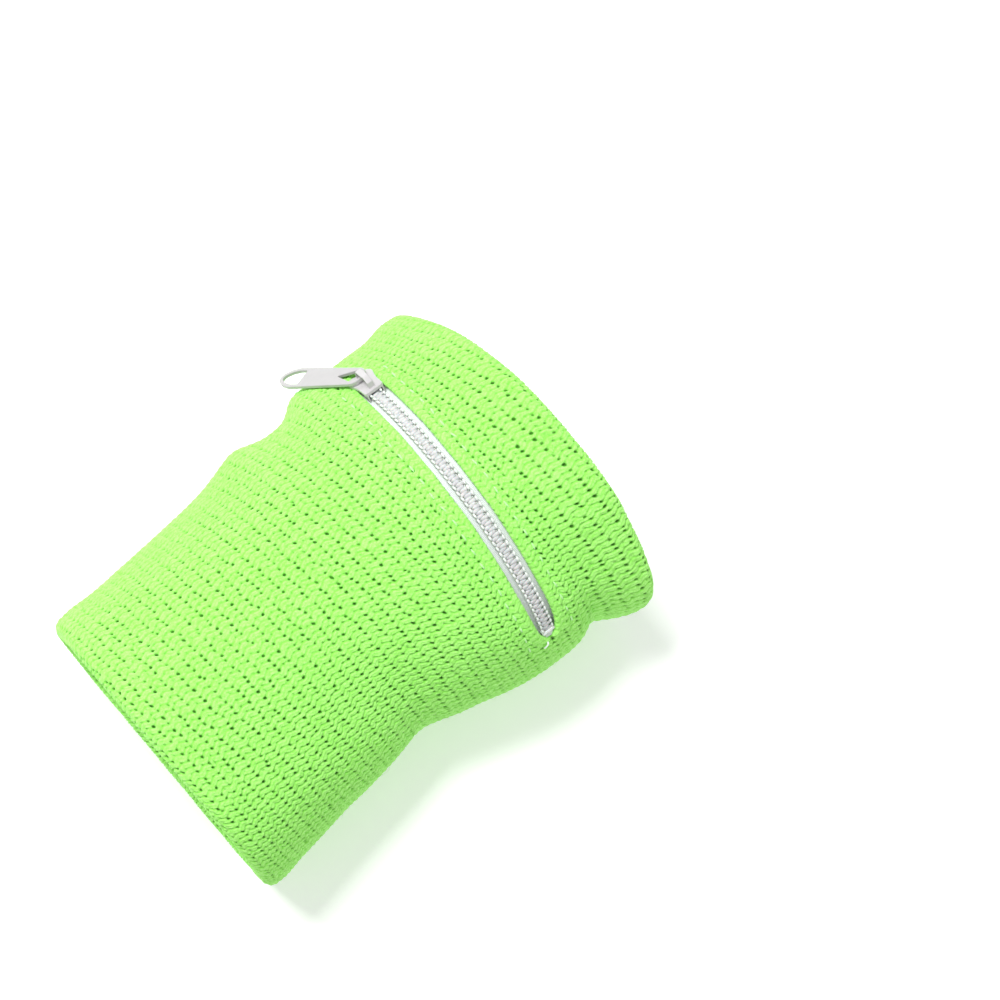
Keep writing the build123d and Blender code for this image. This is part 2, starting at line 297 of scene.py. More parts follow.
def surface(x, t, inset):
    """Points of the worn sleeve, inset millimetres inside its outer face.

    t runs from -1 to 1 round the section, 0 at the top, positive towards +Y.
    """
    x, t, inset = np.broadcast_arrays(x, t, inset)
    inset = inset - swell(x, t)
    scale = np.interp(x, form_x, form_scale)
    shift = np.interp(x, form_x, form_shift)
    c, s = cos(arc_half_angle), sin(arc_half_angle)
    crown = scale * arc_radius - inset
    centre = scale * arc_centre_z
    flank = (centre + crown * c - inset) / (1 + c)
    crown_length = crown * arc_half_angle
    flank_length = flank * (pi - arc_half_angle)
    floor_length = (crown - flank) * s
    way = np.abs(t) * (crown_length + flank_length + floor_length)
    sign = np.sign(t) + (t == 0)
    on_crown = way < crown_length
    on_flank = ~on_crown & (way < crown_length + flank_length)
    a = np.where(on_crown, way / crown, arc_half_angle + (way - crown_length) / flank)
    y = np.where(on_crown, crown * np.sin(a), (crown - flank) * s + flank * np.sin(a))
    z = np.where(on_crown, crown * np.cos(a), (crown - flank) * c + flank * np.cos(a)) + centre
    on_floor = ~on_crown & ~on_flank
    y = np.where(on_floor, floor_length - (way - crown_length - flank_length), y)
    z = np.where(on_floor, inset, z)
    bow_start, bow_growth = hand_rim_bow_z
    lean = hand_rim_lean * sign * y / half_width * smoothstep(z / hand_rim_lean_height)
    bow = hand_rim_bow * smoothstep((z - bow_start) / bow_growth) - lean
    draw = forearm_rim_draw - forearm_rim_lean * sign * y / half_width
    bend_start, bend_length = rim_bend
    x = (x + bow * smoothstep((x - bend_start) / bend_length)
         + draw * smoothstep((-x - bend_start) / bend_length))
    return np.stack([x, sign * y + shift, z], axis=-1)


def half_way_round():
    """Length of half the outer section at the zip, where the scale is 1."""
    c, s = cos(arc_half_angle), sin(arc_half_angle)
    flank = (arc_centre_z + arc_radius * c) / (1 + c)
    return arc_radius * arc_half_angle + flank * (pi - arc_half_angle) + (arc_radius - flank) * s


def slit_half_width(t):
    """Half width of the slit between the lips' crests, along the way round."""
    low, high = (radians(a) * arc_radius / half_way_round() for a in slit_angles)
    reach = np.abs((t - (low + high) / 2) / ((high - low) / 2))
    return slit_outer_half * np.clip(1 - reach ** slit_squareness, 0, None) ** slit_end_roundness


def drifted(wale, t, x):
    """Wale coordinates of a grid of rows at x and columns at t, with the ribs' drift.

    x counts on past the rim.
    """
    start, full, fading, end = rib_drift_places
    low, high = rib_drift_x
    share = smoothstep((start - t) / (start - full)) * smoothstep((t - end) / (fading - end))
    return wale[None] - rib_drift * smoothstep((x - low) / (high - low))[:, None] * share[None]


def rolled(q, side):
    """x and inset of the cloth's middle at path distance q from the slit, over the rim and back inside."""
    flat = sleeve_end - rim_reach - side * zip_x
    beyond = np.clip(q - flat, 0, None)
    half_round = pi * 0.5 * (rim_reach + layer_inset / 2)
    a = np.clip(beyond / half_round, 0, 1) * pi
    tail = np.clip(beyond - half_round, 0, None)
    x = np.minimum(q, flat) + side * zip_x + rim_reach * np.sin(a) - tail
    inset = layer_inset / 2 * (1 - np.cos(a)) - rim_tuck * tail
    return side * x, inset


# ---- knit relief ---------------------------------------------------------------------------------
hole_table = random.uniform(0.65, 1.15, (wales, random_courses))
hole_shift = random.normal(0.0, 0.11, (2, wales, random_courses))
stitch_table = random.uniform(-1, 1, (wales, random_courses))
wobble_table = random.uniform(-1, 1, (wales, random_courses))


def wobble(wale, c):
    """Slow random sway of the strands, from one stitch to the next."""
    low_w, low_c = np.floor(wale).astype(int), np.floor(c).astype(int)
    share_w, share_c = smoothstep(wale - low_w), smoothstep(c - low_c)
    corners = [[wobble_table[(low_w + i) % wales, (low_c + j) % random_courses] for j in (0, 1)]
               for i in (0, 1)]
    near, far = (pair[0] * (1 - share_c) + pair[1] * share_c for pair in corners)
    return strand_wobble * (near * (1 - share_w) + far * share_w)


def strand_sway(c):
    """Zigzag of the strands: to one side at every even course, to the other at every odd one."""
    return strand_bend * (np.sin(pi * c) - 0.12 * np.sin(3 * pi * c))


def knit(wale, course_number, calm=1.0):
    """Height, hole, ridge and stitch tone of the knitting at wale and course coordinates.

    calm flattens it.
    """
    c = course_number + spiral * wale
    cell_c = np.floor(c).astype(int)
    strand = wale + strand_sway(c) + wobble(wale, c)
    valley = wale + strand_sway(cell_c + 0.5) + wobble(wale, c)
    cell_w = np.floor(valley + 0.5).astype(int)
    legs = (1 - leg_share) * np.cos(2 * pi * strand) + leg_share * np.cos(4 * pi * strand)
    ridge = 0.5 - 0.5 * legs
    chevron = np.cos(2 * pi * (c + 0.5 * np.abs(2 * (strand - np.floor(strand)) - 1)))
    cell = cell_w % wales, cell_c % random_courses
    shift = hole_shift[:, cell[0], cell[1]]
    off_w, off_c = valley - cell_w - shift[0], c - cell_c - 0.5 - shift[1]
    strength = calm * hole_table[cell] * np.where(cell_c % 2 == 0, 1.0, odd_hole)
    hole = strength * np.exp(-((off_w + hole_slant * off_c) / hole_wales) ** 2 - (off_c / hole_courses) ** 2)
    stitch_tone = stitch_table[np.floor(wale).astype(int) % wales, cell_c % random_courses]
    # the random tone of each stitch, plus a painted highlight where the loops' heads stand up
    tone = 0.6 * stitch_tone + 0.5 * chevron * ridge
    rib = ridge_height * (ridge ** ridge_roundness - ridge_level) * (1 + 0.3 * tone)
    height = calm * (rib + chevron_height * chevron * ridge)
    return height - hole_depth * hole, hole, ridge, tone


def normals_of(points, flip):
    """Unit normals of a grid of points that wraps round in columns."""
    along = np.gradient(points, axis=0)
    around = np.roll(points, -1, axis=1) - np.roll(points, 1, axis=1)
    n = unit(np.cross(along, around))
    return -n if flip else n


def columns_round(columns):
    """Places of the columns of a grid round the section."""
    return (np.arange(columns) / columns * 2 + 1) % 2 - 1


def seam_draw(beside, t, q):
    """How far the rows of stitches beside the zip draw the cloth in.

    beside is the distance from the zip's centre line, and q the way along the cloth from the slit.
    """
    low, high = (radians(seam_angles[i]) * arc_radius / half_way_round() for i in (0, 1))
    along = smoothstep((t - low + 0.01) / 0.01) * smoothstep((high - t + 0.03) / 0.01)
    groove = np.exp(-((beside - seam_offset) / seam_groove_spread) ** 2)
    before_rim = q < 15
    return seam_groove * along * groove * before_rim


def cloth_half(side, count):
    """Grids of the outer layer on one side of the slit line, count courses long, before the knit's relief.

    Row 0 is the slit line and rows lead away from it. The lip's rows come before row 0.
    """
    columns = wales * columns_per_wale
    t = columns_round(columns)
    q = np.arange(count * rows_per_course + 1) * course / rows_per_course
    opening = slit_half_width(t)
    step = 2 * half_way_round() / columns
    order = np.argsort(t)
    push = np.empty((len(q), columns))
    for row, distance in enumerate(q):
        push[row, order] = blurred(opening[order], spread_softness * distance, step, True)
    push *= np.clip(1 - q[:, None] / spread_reach, 0, 1) ** 1.5
    x, inset = rolled(q, side)
    slant = surface(zip_x, t, 0.0)[:, 1] * tan(zip_slant)
    easing = np.clip(1 - q / (sleeve_end - rim_reach - side * zip_x), 0, 1)
    x = x[:, None] + side * push + slant * easing[:, None]
    main = surface(x, t[None], inset[:, None] + seam_draw(side * (x - zip_x - slant), t, q[:, None]))
    lipped = smoothstep(opening / 1.5)       # 1 where the slit is open and has lips, 0 beyond its ends
    angle = np.linspace(pi, 0, lip_rows, endpoint=False)[:, None]
    lip = surface(zip_x + slant + side * (opening - lip_radius * lipped * np.sin(angle)), t[None],
                  lip_radius * (1 - np.cos(angle)) + 0.9 * (1 - lipped))
    base = np.concatenate([lip, main])
    n = normals_of(base, side < 0)
    one_sided = np.gradient(main[:3], axis=0)[0]
    around = np.roll(main[0], -1, axis=0) - np.roll(main[0], 1, axis=0)
    flat = unit(np.cross(one_sided, around)) * side
    n[lip_rows] = unit(n[lip_rows] * lipped[:, None] + flat * (1 - lipped[:, None]))
    numbers = np.concatenate([-angle[:, 0] * lip_radius, q]) / course * side
    wale = drifted(t * wales / 2, t, zip_x + numbers * course)
    from_slit = np.concatenate([0 * angle[:, 0], q])[:, None]
    calm = 1 - 0.55 * lipped * np.exp(-(from_slit / 2.4) ** 2)     # the knit is flatter at the lips
    return {"base": base, "normal": n, "course": numbers, "wale": wale, "lipped": lipped, "calm": calm}


def finished(half, other):
    """One half with its relief, matched to the other along the slit line: points, holes, ridges and tones."""
    w = half["lipped"][:, None]
    n = half["normal"].copy()
    n[lip_rows] = unit(n[lip_rows] * w + (n[lip_rows] + other["normal"][lip_rows]) * (1 - w))
    height, hole, ridge, tone = knit(half["wale"], half["course"][:, None], half["calm"])
    height[:lip_rows] *= half["lipped"]
    points = half["base"] + n * height[..., None]
    # where the band rests, the crests are pressed flat
    points[..., 2] = np.maximum(points[..., 2], table_gap)
    return points, hole, ridge, tone


def knit_bands(name, side, count, half, other, material):
    """The pieces of one side of the outer layer, cut along courses so that each stays a handy size."""
    points, hole, ridge, tone = finished(half, other)
    other_points = finished(other, half)[0]
    n = normals_of(points, side < 0)
    row = lip_rows
    ahead = points[row + 1] - other_points[row + 1]
    around = np.roll(points[row], -1, axis=0) - np.roll(points[row], 1, axis=0)
    joined = unit(np.cross(ahead, around)) * side
    w = half["lipped"][:, None]
    n[row] = unit(n[row] * w + joined * (1 - w))
    inner = half["base"] - half["normal"] * wall
    cuts = [*range(0, count, courses_per_band), count]
    made = []
    for number, (low, high) in enumerate(zip(cuts, cuts[1:])):
        flat_first = row + low * rows_per_course
        first = 0 if low == 0 else flat_first      # the first band takes the lip's rows too
        last = row + high * rows_per_course
        hidden = inner[flat_first:last + 1:rows_per_course, ::columns_per_wale]
        values = [v[first:last + 1] for v in (hole, ridge, tone)]
        piece = band(f"{name}_{number + 1}", points[first:last + 1], n[first:last + 1], hidden,
                     columns_per_wale, low == 0, side < 0, values, material)
        made.append((piece, (high - low) * course))
    return made


def grid_uv(rows, columns, low, high):
    """UVs of a grid that takes the square's whole width, between two heights."""
    u, v = np.meshgrid(np.arange(columns) / columns, np.linspace(low, high, rows))
    return np.stack([u, v], -1).reshape(-1, 2)


def band(name, outer, normals, inner, thinning, on_slit, flip, values, material):
    """Closed ring of cloth: the knitted face, a plain hidden face and the edges between them.

    The hidden face has one column to every thinning columns of the knitted one.
    """
    rows, columns = outer.shape[:2]
    if on_slit:
        inner = inner[1:]
    hidden_rows, hidden_columns = inner.shape[:2]
    points = np.concatenate([outer.reshape(-1, 3), inner.reshape(-1, 3)])
    hidden = rows * columns
    face = grid_faces(rows, columns, True)
    back = grid_faces(hidden_rows, hidden_columns, True, hidden)[:, ::-1]
    wide = np.arange(hidden_columns)[:, None]
    steps = np.arange(thinning + 1)[None]
    fine = (wide * thinning + steps) % columns
    next_wide = (wide + 1) % hidden_columns
    start = np.concatenate([fine[:, ::-1], hidden + wide, hidden + next_wide], axis=1)
    last_hidden = hidden + (hidden_rows - 1) * hidden_columns
    end = np.concatenate([(rows - 1) * columns + fine, last_hidden + next_wide, last_hidden + wide], axis=1)
    faces = [face, back, start, end]
    if not flip:
        faces = [f[:, ::-1] for f in faces]
    uv = np.concatenate([grid_uv(rows, columns, 0.005, 0.9),
                         grid_uv(hidden_rows, hidden_columns, 0.92, 0.99)])
    blank = np.zeros(hidden_rows * hidden_columns)
    values = {key: np.concatenate([value.ravel(), blank])
              for key, value in zip(("hole", "ridge", "tone"), values)}
    hidden_normals = np.zeros((len(blank), 3))     # zero: Blender works them out
    shading = np.concatenate([normals.reshape(-1, 3), hidden_normals])
    return make_piece(name, points, faces, "sleeve", material, uv, shading, values)


def make_outer_sleeve(material):
    """The knitted outer layer, its rolled rims and the turned lips of the slit."""
    forearm = cloth_half(-1, forearm_courses)
    hand = cloth_half(1, hand_courses)
    made = knit_bands("sleeve_knit_forearm", -1, forearm_courses, forearm, hand, material)
    made += knit_bands("sleeve_knit_hand", 1, hand_courses, hand, forearm, material)
    for piece, length in made:
        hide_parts("outer_sleeve")


def make_lining(material):
    """The inner layer, knitted side towards the arm, in two lengths."""
    t = columns_round(wales * lining_columns_per_wale)
    row_count = lining_courses * lining_rows_per_course + 1
    x = np.arange(row_count) / lining_rows_per_course - lining_courses / 2
    x = x * course * lining_stretch
    height, hole, ridge, tone = knit(t[None] * wales / 2, (x / course)[:, None])
    points = surface(x[:, None], t[None], lining_face_inset + height)
    n = normals_of(points, True)
    hidden = surface(x[:, None], t[None], lining_outer_inset)
    middle = lining_courses // 2 * lining_rows_per_course
    for name, low, high in (("forearm", 0, middle), ("hand", middle, row_count - 1)):
        rows = slice(low, high + 1)
        hidden_part = hidden[low:high + 1:lining_rows_per_course, ::lining_columns_per_wale]
        piece = band(f"lining_knit_{name}", points[rows], n[rows], hidden_part, lining_columns_per_wale,
                     False, True, [v[rows] for v in (hole, ridge, tone)], material)
        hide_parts("inner_lining")


def make_end_seam(side, material):
    """Overlock stitches over the joint of rolled rim and lining: a zigzag between two looped edges."""
    parts = Parts()
    s = np.linspace(-1, 1, overlock_stitches * 12 + 1)
    phase = s * overlock_stitches * pi
    joint = side * (sleeve_end - overlock_setback)
    zigzag = 2 / pi * np.arcsin(0.97 * np.sin(phase))
    up = unit(surface(joint, s, 6.0) - surface(joint, s, 4.0))
    path = surface(joint + overlock_half_width * zigzag, s, overlock_inset + 0.10 * np.cos(2 * phase))
    parts.add(*thread(path, 0.20, 6, up))
    for edge in (-1, 1):
        wave = 0.16 * np.sin(2 * phase + edge)
        path = surface(joint + edge * 1.0 + wave, s, 4.70 + 0.12 * np.cos(2 * phase))
        parts.add(*thread(path, 0.17, 6, up))
    return parts.piece(f"overlock_{side_names[side]}_end", "sleeve", material)


# ---- the zip -------------------------------------------------------------------------------------
def on_arc(x, angle, radius):
    """Points beside the zip's centre line, at an angle in degrees and a radius about the arc's centre."""
    x, a, radius = np.broadcast_arrays(x, np.radians(angle), radius)
    return slanted(x, radius * np.sin(a), arc_centre_z + radius * np.cos(a)) + [zip_x, 0, 0]


def slanted(x, y, z):
    """Turned about the upright by the zip's slant."""
    c, s = cos(zip_slant), sin(zip_slant)
    return np.stack([c * x + s * y, c * y - s * x, z], axis=-1)


def outward(angle):
    """Direction out of the sleeve at an angle along the zip."""
    a = np.radians(angle)
    return slanted(0 * a, np.sin(a), np.cos(a))


def lengthwise(angle):
    """Direction along the zip at an angle."""
    a = np.radians(angle)
    return slanted(0 * a, np.cos(a), -np.sin(a))


def make_tape(side, material):
    """Woven zip tape: fine ribs where the slit shows it, plain where the sleeve covers it."""
    inner_edge, shown_edge, outer_edge = tape_x
    fine = np.arange(inner_edge, shown_edge, 0.1)
    x = np.concatenate([fine, np.linspace(3.8, outer_edge, 12)])
    angle = np.linspace(*tape_angles, 400)
    way = np.radians(angle)[:, None] * tape_radius
    shown = smoothstep((3.9 - x[None]) / 0.6)
    floats = 0.035 * np.sin(2 * pi * way / tape_float + pi * np.floor(x[None] / tape_rib))
    ribs = np.abs(np.sin(pi * x[None] / tape_rib))
    weave = floats * ribs + 0.02 * np.cos(2 * pi * x[None] / tape_rib)
    top = on_arc(side * x[None], angle[:, None], tape_radius - 0.05 + weave * shown)
    under = on_arc(side * x[None], angle[:, None], tape_radius - tape_thickness)
    rows, columns = top.shape[:2]
    loop = np.concatenate([top, under[:, ::-1]], axis=1)
    start = np.arange(2 * columns)[None, ::-1]
    end = (rows - 1) * 2 * columns + np.arange(2 * columns)[None]
    faces = [grid_faces(rows, 2 * columns, True), start, end]
    if side > 0:
        faces = [f[:, ::-1] for f in faces]
    return make_piece(f"zip_tape_{side_names[side]}_side", loop.reshape(-1, 3), faces, "sleeve", material)


def parted(angle):
    """How far a coil is pushed out at an angle, round the resting slider's diamond."""
    travel = np.radians(np.asarray(angle) - slider_angle) * arc_radius
    return coil_parting * smoothstep((travel - 0.1) / 1.7)


def make_coil(side, material):
    """Coil of nylon monofilament. Its heads reach past the centre line, between those of the other coil."""
    start, stop = coil_angles
    middle = (coil_low + coil_high) / 2
    turns = int(radians(stop - start) * middle / coil_pitch)
    phase = np.linspace(0, turns, turns * wire_points)
    a = 2 * pi * phase + (0 if side > 0 else pi)
    angle = start + degrees(coil_pitch / middle) * (phase + 0.8 * np.cos(a) / (2 * pi))
    across = np.cos(a)
    head = np.clip(-across, 0, 1) ** 3
    low, high = coil_x
    x = (low + high) / 2 + (high - low) / 2 * np.sign(across) * np.abs(across) ** 0.85
    radius = middle + (coil_high - coil_low - 2 * wire) / 2 * np.sin(a)
    thick = wire * (1 + 0.10 * head)
    path = on_arc(side * (x + parted(angle)), angle, radius)
    points, faces = thread(path, thick, 10, lengthwise(angle), wire_flatness)
    return make_piece(f"coil_wire_{side_names[side]}_side", points, faces, "sleeve", material)


def make_filler_cord(side, material):
    """Two plies twisted together, inside the coil."""
    angle = np.linspace(coil_angles[0] + 0.3, coil_angles[1] - 0.3, 900)
    twist = np.radians(angle) * cord_arc * 2 * pi / cord_twist
    parts = Parts()
    for ply in (0, pi):
        x = cord_x + ply_offset * np.cos(twist + ply) + parted(angle)
        path = on_arc(side * x, angle, tape_radius + 0.52 + ply_offset * np.sin(twist + ply))
        parts.add(*thread(path, ply_radius, 6, outward(angle)))
    return parts.piece(f"filler_cord_twist_{side_names[side]}_side", "sleeve", material)


def make_coil_stitches(side, material):
    """Lockstitch over the coil, one short stitch to each turn of the wire."""
    parts = Parts()
    step = degrees(coil_pitch / coil_high)
    reach = step * 0.80
    for angle in np.arange(coil_angles[0] + 0.4, coil_angles[1] - 0.8, step):
        x = side * (stitch_x + float(parted(angle))) + 0.03 * random.standard_normal()
        start = on_arc(x - 0.06 * side, angle, coil_high + 0.12)
        stop = on_arc(x + 0.06 * side, angle + reach, coil_high + 0.12)
        parts.add(*stitch(start, stop, outward(angle + reach / 2), 0.52, 0.36, steps=8))
    return parts.piece(f"coil_lockstitch_{side_names[side]}_side", "sleeve", material)


def make_zip_seam(side, material):
    """Stitches that hold the tape to the sleeve, half sunk in the knit."""
    parts = Parts()
    first, last, step = seam_angles
    x = zip_x + side * seam_offset
    around = arc_radius / half_way_round()
    for angle in np.arange(first, last, step):
        low, high = (radians(a) * around for a in (angle, angle + seam_stitch))
        drift = arc_radius * sin(radians(angle)) * tan(zip_slant) + 0.12 * random.standard_normal(2)
        ends = surface(x + drift, np.array([low, high]), 0.5 * seam_groove)
        parts.add(*stitch(ends[0], ends[1], outward(angle + seam_stitch / 2), 0.44, 0.34, sink=0.06))
    return parts.piece(f"zip_seam_stitches_{side_names[side]}_side", "sleeve", material)


def make_bartack(name, angles, height, material):
    """Close zigzag of thread across the end of the chain, with two threads along it."""
    low, high = angles
    passes = 8
    s = np.linspace(0, 1, passes * 10 + 1)
    sweep = 2 / pi * np.arcsin(0.98 * np.sin(s * passes * pi + pi / 2))
    arch = np.sqrt(np.clip(1 - (sweep * 0.92) ** 2, 0, 1))
    angle = low + (high - low) * (0.08 + 0.84 * s)
    path = on_arc(1.5 * sweep, angle, tape_radius + 0.12 + height * arch)
    parts = Parts()
    parts.add(*thread(path, 0.13, 7, outward(angle)))
    across = np.linspace(-1, 1, 40)
    for edge in (0.25, 0.75):
        angle = low + (high - low) * (edge + 0.06 * np.sin(9 * across))
        arch = np.sqrt(1 - (0.95 * across) ** 2)
        line = on_arc(1.35 * across, angle, tape_radius + 0.1 + height * 0.8 * arch)
        parts.add(*thread(line, 0.15, 7, outward(np.full(len(across), low))))
    return parts.piece(name, "sleeve", material)


def make_thread_tail(material):
    """The end of the bartack's thread: out of the slit's closed end and hooked over the knit beside it."""
    s = np.linspace(0, 1, 60)
    angle = -55.2 - 1.5 * np.sin(1.9 * s)
    drift = arc_radius * np.sin(np.radians(angle)) * tan(zip_slant)
    x = zip_x + drift - 0.9 - 1.7 * s
    out = smoothstep(s / 0.4)
    taper = 0.15 * np.sqrt(np.clip(np.minimum(s, 1 - s) * 12, 0.05, 1))
    parts = Parts()
    for offset, thinning in ((0.0, 1.0), (0.16, 0.7)):       # two plies side by side
        t = np.radians(angle + offset) * arc_radius / half_way_round()
        path = surface(x + offset, t, 0.9 - 1.22 * out)
        parts.add(*thread(path, thinning * taper, 8, outward(angle)))
    return parts.piece("thread_tail", "sleeve", material)


def make_fibres(material):
    """Loose fibres that stand out of the knit."""
    parts = Parts()
    s = np.linspace(0, 1, 7)
    for _ in range(fibre_count):
        x, t = random.uniform(-47, 46), random.uniform(-0.8, 0.8)
        if abs(x - zip_x) < fibre_free_x and abs(t) < fibre_free_t:
            continue
        turn, length = random.uniform(0, 2 * pi), random.uniform(0.9, 2.4)
        bend = random.uniform(-1.6, 1.6)
        along = length * s * np.cos(turn + bend * s)
        round_it = length * s * np.sin(turn + bend * s) / half_way_round()
        rise = random.uniform(0.15, 0.55) * np.sin(pi * s * random.uniform(0.5, 1.0))
        path = surface(x + along, t + round_it, -0.08 - rise)
        path[:, 2] = np.maximum(path[:, 2], fibre_clearance)
        parts.add(*thread(path, fibre_radius * (1.2 - s), 3))
    return parts.piece("loose_fibres", "sleeve", material)


# ---- metal ---------------------------------------------------------------------------------------
def softened(node, name, body, material, voxel, rounds):
    """Copy of a CAD node with its edges rounded off, as a cast and lacquered piece has them."""
    source = frame["nodes"][node]
    piece = bpy.data.objects.new(name, source.data.copy())
    bpy.context.scene.collection.objects.link(piece)
    piece.data.materials.clear()
    piece.data.materials.append(material)
    remesh = piece.modifiers.new("remesh", "REMESH")
    remesh.mode = "VOXEL"
    remesh.voxel_size = voxel * MM
    smooth = piece.modifiers.new("smooth", "SMOOTH")
    smooth.factor = 0.5
    smooth.iterations = rounds
    bpy.context.view_layer.update()
    shape = bpy.data.meshes.new_from_object(piece.evaluated_get(bpy.context.evaluated_depsgraph_get()))
    piece.modifiers.clear()
    piece.data = shape
    shape.name = name
    shape.polygons.foreach_set("use_smooth", np.ones(len(shape.polygons), bool))
    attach(piece, body)
    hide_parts(node)
    return piece


# ---- materials -----------------------------------------------------------------------------------
class Shader:
    """Help for writing node materials. A value may be a number, a node or a node's output."""

    def __init__(self, name, **constants):
        self.material = bpy.data.materials.new(name)
        self.material.use_nodes = True
        self.tree = self.material.node_tree
        self.surface = self.tree.nodes["Principled BSDF"]
        for key, value in constants.items():
            self.surface.inputs[key.replace("_", " ")].default_value = value

    def add(self, kind, settings=None, **inputs):
        node = self.tree.nodes.new("ShaderNode" + kind)
        for key, value in (settings or {}).items():
            setattr(node, key, value)
        for key, value in inputs.items():
            socket = node.inputs[int(key[1:])] if key[0] == "_" else node.inputs[key]
            self.put(socket, value)
        return node

    def put(self, socket, value):
        if isinstance(value, bpy.types.NodeSocket):
            self.tree.links.new(value, socket)
        elif isinstance(value, bpy.types.Node):
            self.tree.links.new(value.outputs[0], socket)
        else:
            socket.default_value = value

    def set(self, key, value):
        self.put(self.surface.inputs[key], value)

    def place(self):
        """Object coordinates in millimetres."""
        where = self.add("TexCoord").outputs["Object"]
        return self.add("VectorMath", {"operation": "SCALE"}, _0=where, _3=1000.0).outputs[0]

    def value(self, name):
        return self.add("Attribute", {"attribute_name": name}).outputs["Fac"]

    def maths(self, operation, a, b=0.0, c=0.0):
        return self.add("Math", {"operation": operation}, _0=a, _1=b, _2=c).outputs[0]

    def ramp(self, value, low, high, to_low=0.0, to_high=1.0):
        return self.add("MapRange", {"interpolation_type": "SMOOTHSTEP"}, _0=value, _1=low, _2=high,
                        _3=to_low, _4=to_high).outputs[0]

    def blend(self, share, a, b):
        node = self.add("Mix", {"data_type": "RGBA"})
        self.put(node.inputs[0], share)
        for socket, value in ((node.inputs[6], a), (node.inputs[7], b)):
            self.put(socket, value if isinstance(value, bpy.types.NodeSocket) else (*value, 1.0))
        return node.outputs[2]

    def noise(self, scale, detail=2.0, roughness=0.5, where=None):
        node = self.add("TexNoise", Scale=scale, Detail=detail, Roughness=roughness)
        self.put(node.inputs["Vector"], where if where is not None else self.place())
        return node.outputs["Fac"]

    def bump(self, height, distance, strength=1.0):
        """Bump of a height from 0 to 1 that stands for distance millimetres."""
        node = self.add("Bump", Strength=strength, Distance=distance * MM, Height=height)
        self.set("Normal", node.outputs[0])


def knit_material(name, body, highlight_and_tone, hole_shade, shade):
    """Neon yarn with painted light: bright crests as a painted highlight, painted shade in the troughs, deep
    green painted shade in the holes, mottled by its fibres.
    """
    s = Shader(name, Roughness=0.82, Sheen_Weight=0.35, Sheen_Roughness=0.45, Specular_IOR_Level=0.25)
    s.surface.inputs["Sheen Tint"].default_value = (0.75, 1.0, 0.6, 1.0)
    place = s.place()
    hole, ridge, tone = s.value("hole"), s.value("ridge"), s.value("tone")
    fibre = s.noise(3.2, 4.0, 0.7, place)
    mottle = s.noise(1.7, 3.0, 0.7, place)
    patch = s.noise(0.09, 2.0, 0.5, place)
    # painted highlight on the tops of the ribs, in the paler crest colour
    lit = s.maths("MULTIPLY", s.ramp(ridge, 0.62, 1.0), s.ramp(fibre, 0.3, 0.7, 0.3, 1.0))
    # painted shade: the troughs between the ribs take the darker shade colour
    colour = s.blend(s.ramp(ridge, 0.05, 0.75), shade, body)
    colour = s.blend(lit, colour, highlight_and_tone)
    # random patches and mottle, drawn toward the same darker green
    colour = s.blend(s.ramp(patch, 0.35, 0.65, 0.0, 0.14), colour, shade)
    colour = s.blend(s.ramp(mottle, 0.40, 0.62, 0.0, 0.80), colour, shade)
    # random stitch tone, and a painted highlight on the raised loop heads
    colour = s.blend(s.ramp(tone, -1.0, 1.0, 0.0, 0.16), colour, highlight_and_tone)
    # painted shade in the eyelets, in the darkest green
    colour = s.blend(s.ramp(hole, 0.12, 0.75), colour, hole_shade)
    s.set("Base Color", colour)
    s.set("Roughness", s.ramp(fibre, 0.2, 0.8, 0.72, 0.92))
    s.bump(s.maths("ADD", s.maths("MULTIPLY", fibre, 0.8), mottle), 0.16, 0.8)
    return s.material


def thread_material(name, colour, shade):
    """Twisted sewing yarn with fine filaments."""
    s = Shader(name, Roughness=0.7, Sheen_Weight=0.2, Specular_IOR_Level=0.35)
    filament = s.noise(6.0, 3.0, 0.6)
    s.set("Base Color", s.blend(s.ramp(filament, 0.35, 0.7), shade, colour))
    s.set("Roughness", s.ramp(filament, 0.2, 0.8, 0.6, 0.8))
    s.bump(filament, 0.06, 0.5)
    return s.material


def tape_material():
    """Woven polyester tape: tiny over and under floats, with painted shade making it a little greyer between
    them.
    """
    s = Shader("woven_tape", Roughness=0.7, Sheen_Weight=0.15, Specular_IOR_Level=0.3)
    place = s.place()
    bands = [s.add("TexWave", {"wave_type": "BANDS", "bands_direction": direction}, Vector=place,
                   Scale=scale, Distortion=distortion, Detail=1.0).outputs["Fac"]
             for direction, scale, distortion in (("X", 1.25, 0.6), ("Y", 1.1, 1.0))]
    floats = s.maths("MULTIPLY", *bands)
    speckle = s.noise(5.0, 3.0, 0.6, place)
    # painted shade: the grooves between the floats take the grey colour
    colour = s.blend(s.ramp(floats, 0.05, 0.5), (0.58, 0.62, 0.62), (0.92, 0.95, 0.95))
    s.set("Base Color", s.blend(s.ramp(speckle, 0.4, 0.7, 0.0, 0.35), colour, (0.95, 0.97, 0.97)))
    s.bump(s.maths("ADD", floats, s.maths("MULTIPLY", speckle, 0.5)), 0.08, 0.7)
    return s.material


def nylon_material(name, dark, light):
    """Nylon, slightly cloudy."""
    s = Shader(name, Roughness=0.5, Specular_IOR_Level=0.32, Subsurface_Weight=0.12,
               Subsurface_Scale=0.8 * MM)
    cloud = s.noise(1.4, 3.0, 0.5)
    s.set("Base Color", s.blend(s.ramp(cloud, 0.35, 0.7), dark, light))
    s.set("Roughness", s.ramp(cloud, 0.3, 0.7, 0.44, 0.58))
    s.bump(s.noise(8.0, 2.0), 0.02, 0.4)
    return s.material


